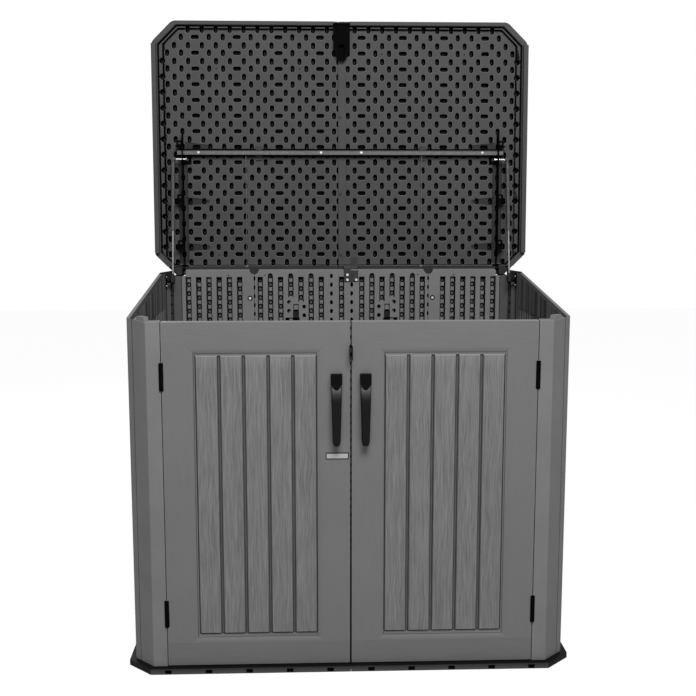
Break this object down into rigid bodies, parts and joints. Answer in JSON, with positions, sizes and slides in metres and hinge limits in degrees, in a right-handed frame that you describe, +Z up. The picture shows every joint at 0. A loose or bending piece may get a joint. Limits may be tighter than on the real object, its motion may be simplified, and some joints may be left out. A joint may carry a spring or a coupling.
{
  "type": "wheelie bin store",
  "caption": "Wheelie bin store with panel walls, planked double doors, a raised floor and a lid that lifts back on arms and gas struts.",
  "frame": {"origin": "on the ground, in the middle of the floor", "axes": "+X to the right of someone who faces the doors, +Y to the back, +Z up"},
  "size_m": [1.624, 1.1386, 2.4477],
  "materials": {
    "wall_plastic": "wood-grained matt grey",
    "lid_plastic": "matt dark grey",
    "floor_plastic": "matt black",
    "black_plastic": "satin black",
    "badge": "plain, bare",
    "black_steel": "powder-coated black",
    "zinc": "zinc plated",
    "dark_screws": "blackened",
    "light_screws": "bright zinc",
    "strut_rod": "polished",
    "strut_tube": "satin black",
    "wire": "dull"
  },
  "bodies": {
    "store": {"floor_panel_left": "floor_plastic", "floor_panel_right": "floor_plastic", "corner_front_left": "wall_plastic", "corner_front_right": "wall_plastic", "corner_back_left": "wall_plastic", "corner_back_right": "wall_plastic", "side_panel_left": "wall_plastic", "side_panel_right": "wall_plastic", "back_panel_left": "wall_plastic", "back_panel_right": "wall_plastic", "hinge_post_leaves_left": "black_steel", "hinge_post_leaves_right": "black_steel", "hinge_bracket_left": "black_steel", "hinge_bracket_right": "black_steel", "strut_bracket_left": "black_steel", "strut_bracket_right": "black_steel", "back_panel_center": "wall_plastic", "wall_screws": "dark_screws", "door_hinge_pins": "black_steel", "bracket_screws": "zinc", "lid_pivot_pins": "zinc", "center_hinge_wall_leaf": "black_steel", "center_hinge_pin": "black_steel", "center_hinge_screws": "light_screws", "strut_bracket_bolts": "zinc"},
    "door_left": {"door_left": "wall_plastic", "hinge_door_leaves_left": "black_steel", "handle_left": "black_plastic", "handle_screws_left": "zinc", "lock_tab_left": "black_steel", "badge_plate": "badge", "bolt_keep": "black_plastic"},
    "door_right": {"door_right": "wall_plastic", "hinge_door_leaves_right": "black_steel", "handle_right": "black_plastic", "handle_screws_right": "zinc", "lock_tab_right": "black_steel"},
    "bolt": {"slide_bolt": "zinc"},
    "lid": {"lid_left": "lid_plastic", "lid_right": "lid_plastic", "hinge_arm_left": "black_steel", "hinge_arm_right": "black_steel", "wire_stay_left": "wire", "wire_stay_right": "wire", "lap_screws": "dark_screws", "arm_screws": "zinc", "cross_bar": "black_steel", "cross_bar_screws": "zinc", "clip_plates": "black_steel", "strut_upper_pins": "zinc", "center_hinge_lid_leaf": "black_steel", "hasp_bracket": "black_steel", "hasp_pin": "black_steel"},
    "hasp": {"hasp": "black_steel"},
    "strut_rod_left": {"strut_rod_left": "strut_rod"},
    "strut_rod_right": {"strut_rod_right": "strut_rod"},
    "strut_tube_left": {"strut_tube_left": "strut_tube"},
    "strut_tube_right": {"strut_tube_right": "strut_tube"}
  },
  "joints": [
    {"name": "lid_hinge", "type": "hinge", "parent": "store", "child": "lid", "pos_m": [0, 0.518, 1.391], "axis": [1, 0, 0], "range_deg": [0, 97.55]},
    {"name": "door_left_hinge", "type": "hinge", "parent": "store", "child": "door_left", "pos_m": [-0.66, -0.512, 0.65], "axis": [0, 0, -1], "range_deg": [0, 110]},
    {"name": "door_right_hinge", "type": "hinge", "parent": "store", "child": "door_right", "pos_m": [0.66, -0.512, 0.65], "axis": [0, 0, 1], "range_deg": [0, 110]},
    {"name": "bolt_slide", "type": "slide", "parent": "door_left", "child": "bolt", "axis": [0, 0, -1], "range_m": [0, 0.028]},
    {"name": "hasp_hinge", "type": "hinge", "parent": "lid", "child": "hasp", "pos_m": [0.003, 0.54401, 2.43673], "axis": [-1, 0, 0], "range_deg": [0, 95.55]},
    {"name": "strut_rod_left_pivot", "type": "hinge", "parent": "store", "child": "strut_rod_left", "pos_m": [-0.726, 0.406, 1.34], "axis": [1, 0, 0], "range_deg": [0, 104.51]},
    {"name": "strut_tube_left_slide", "type": "slide", "parent": "strut_rod_left", "child": "strut_tube_left", "axis": [0, -0.1908, -0.9816], "range_m": [0, 0.17769]},
    {"name": "strut_rod_right_pivot", "type": "hinge", "parent": "store", "child": "strut_rod_right", "pos_m": [0.726, 0.406, 1.34], "axis": [1, 0, 0], "range_deg": [0, 104.51]},
    {"name": "strut_tube_right_slide", "type": "slide", "parent": "strut_rod_right", "child": "strut_tube_right", "axis": [0, -0.1908, -0.9816], "range_m": [0, 0.17769]}
  ],
  "couplings": [
    {"joint": "strut_rod_left_pivot", "follows": "lid_hinge", "ratio": 1.0708},
    {"joint": "strut_tube_left_slide", "follows": "lid_hinge", "m_per_rad": 0.10431},
    {"joint": "strut_rod_right_pivot", "follows": "lid_hinge", "ratio": 1.0708},
    {"joint": "strut_tube_right_slide", "follows": "lid_hinge", "m_per_rad": 0.10431}
  ]
}
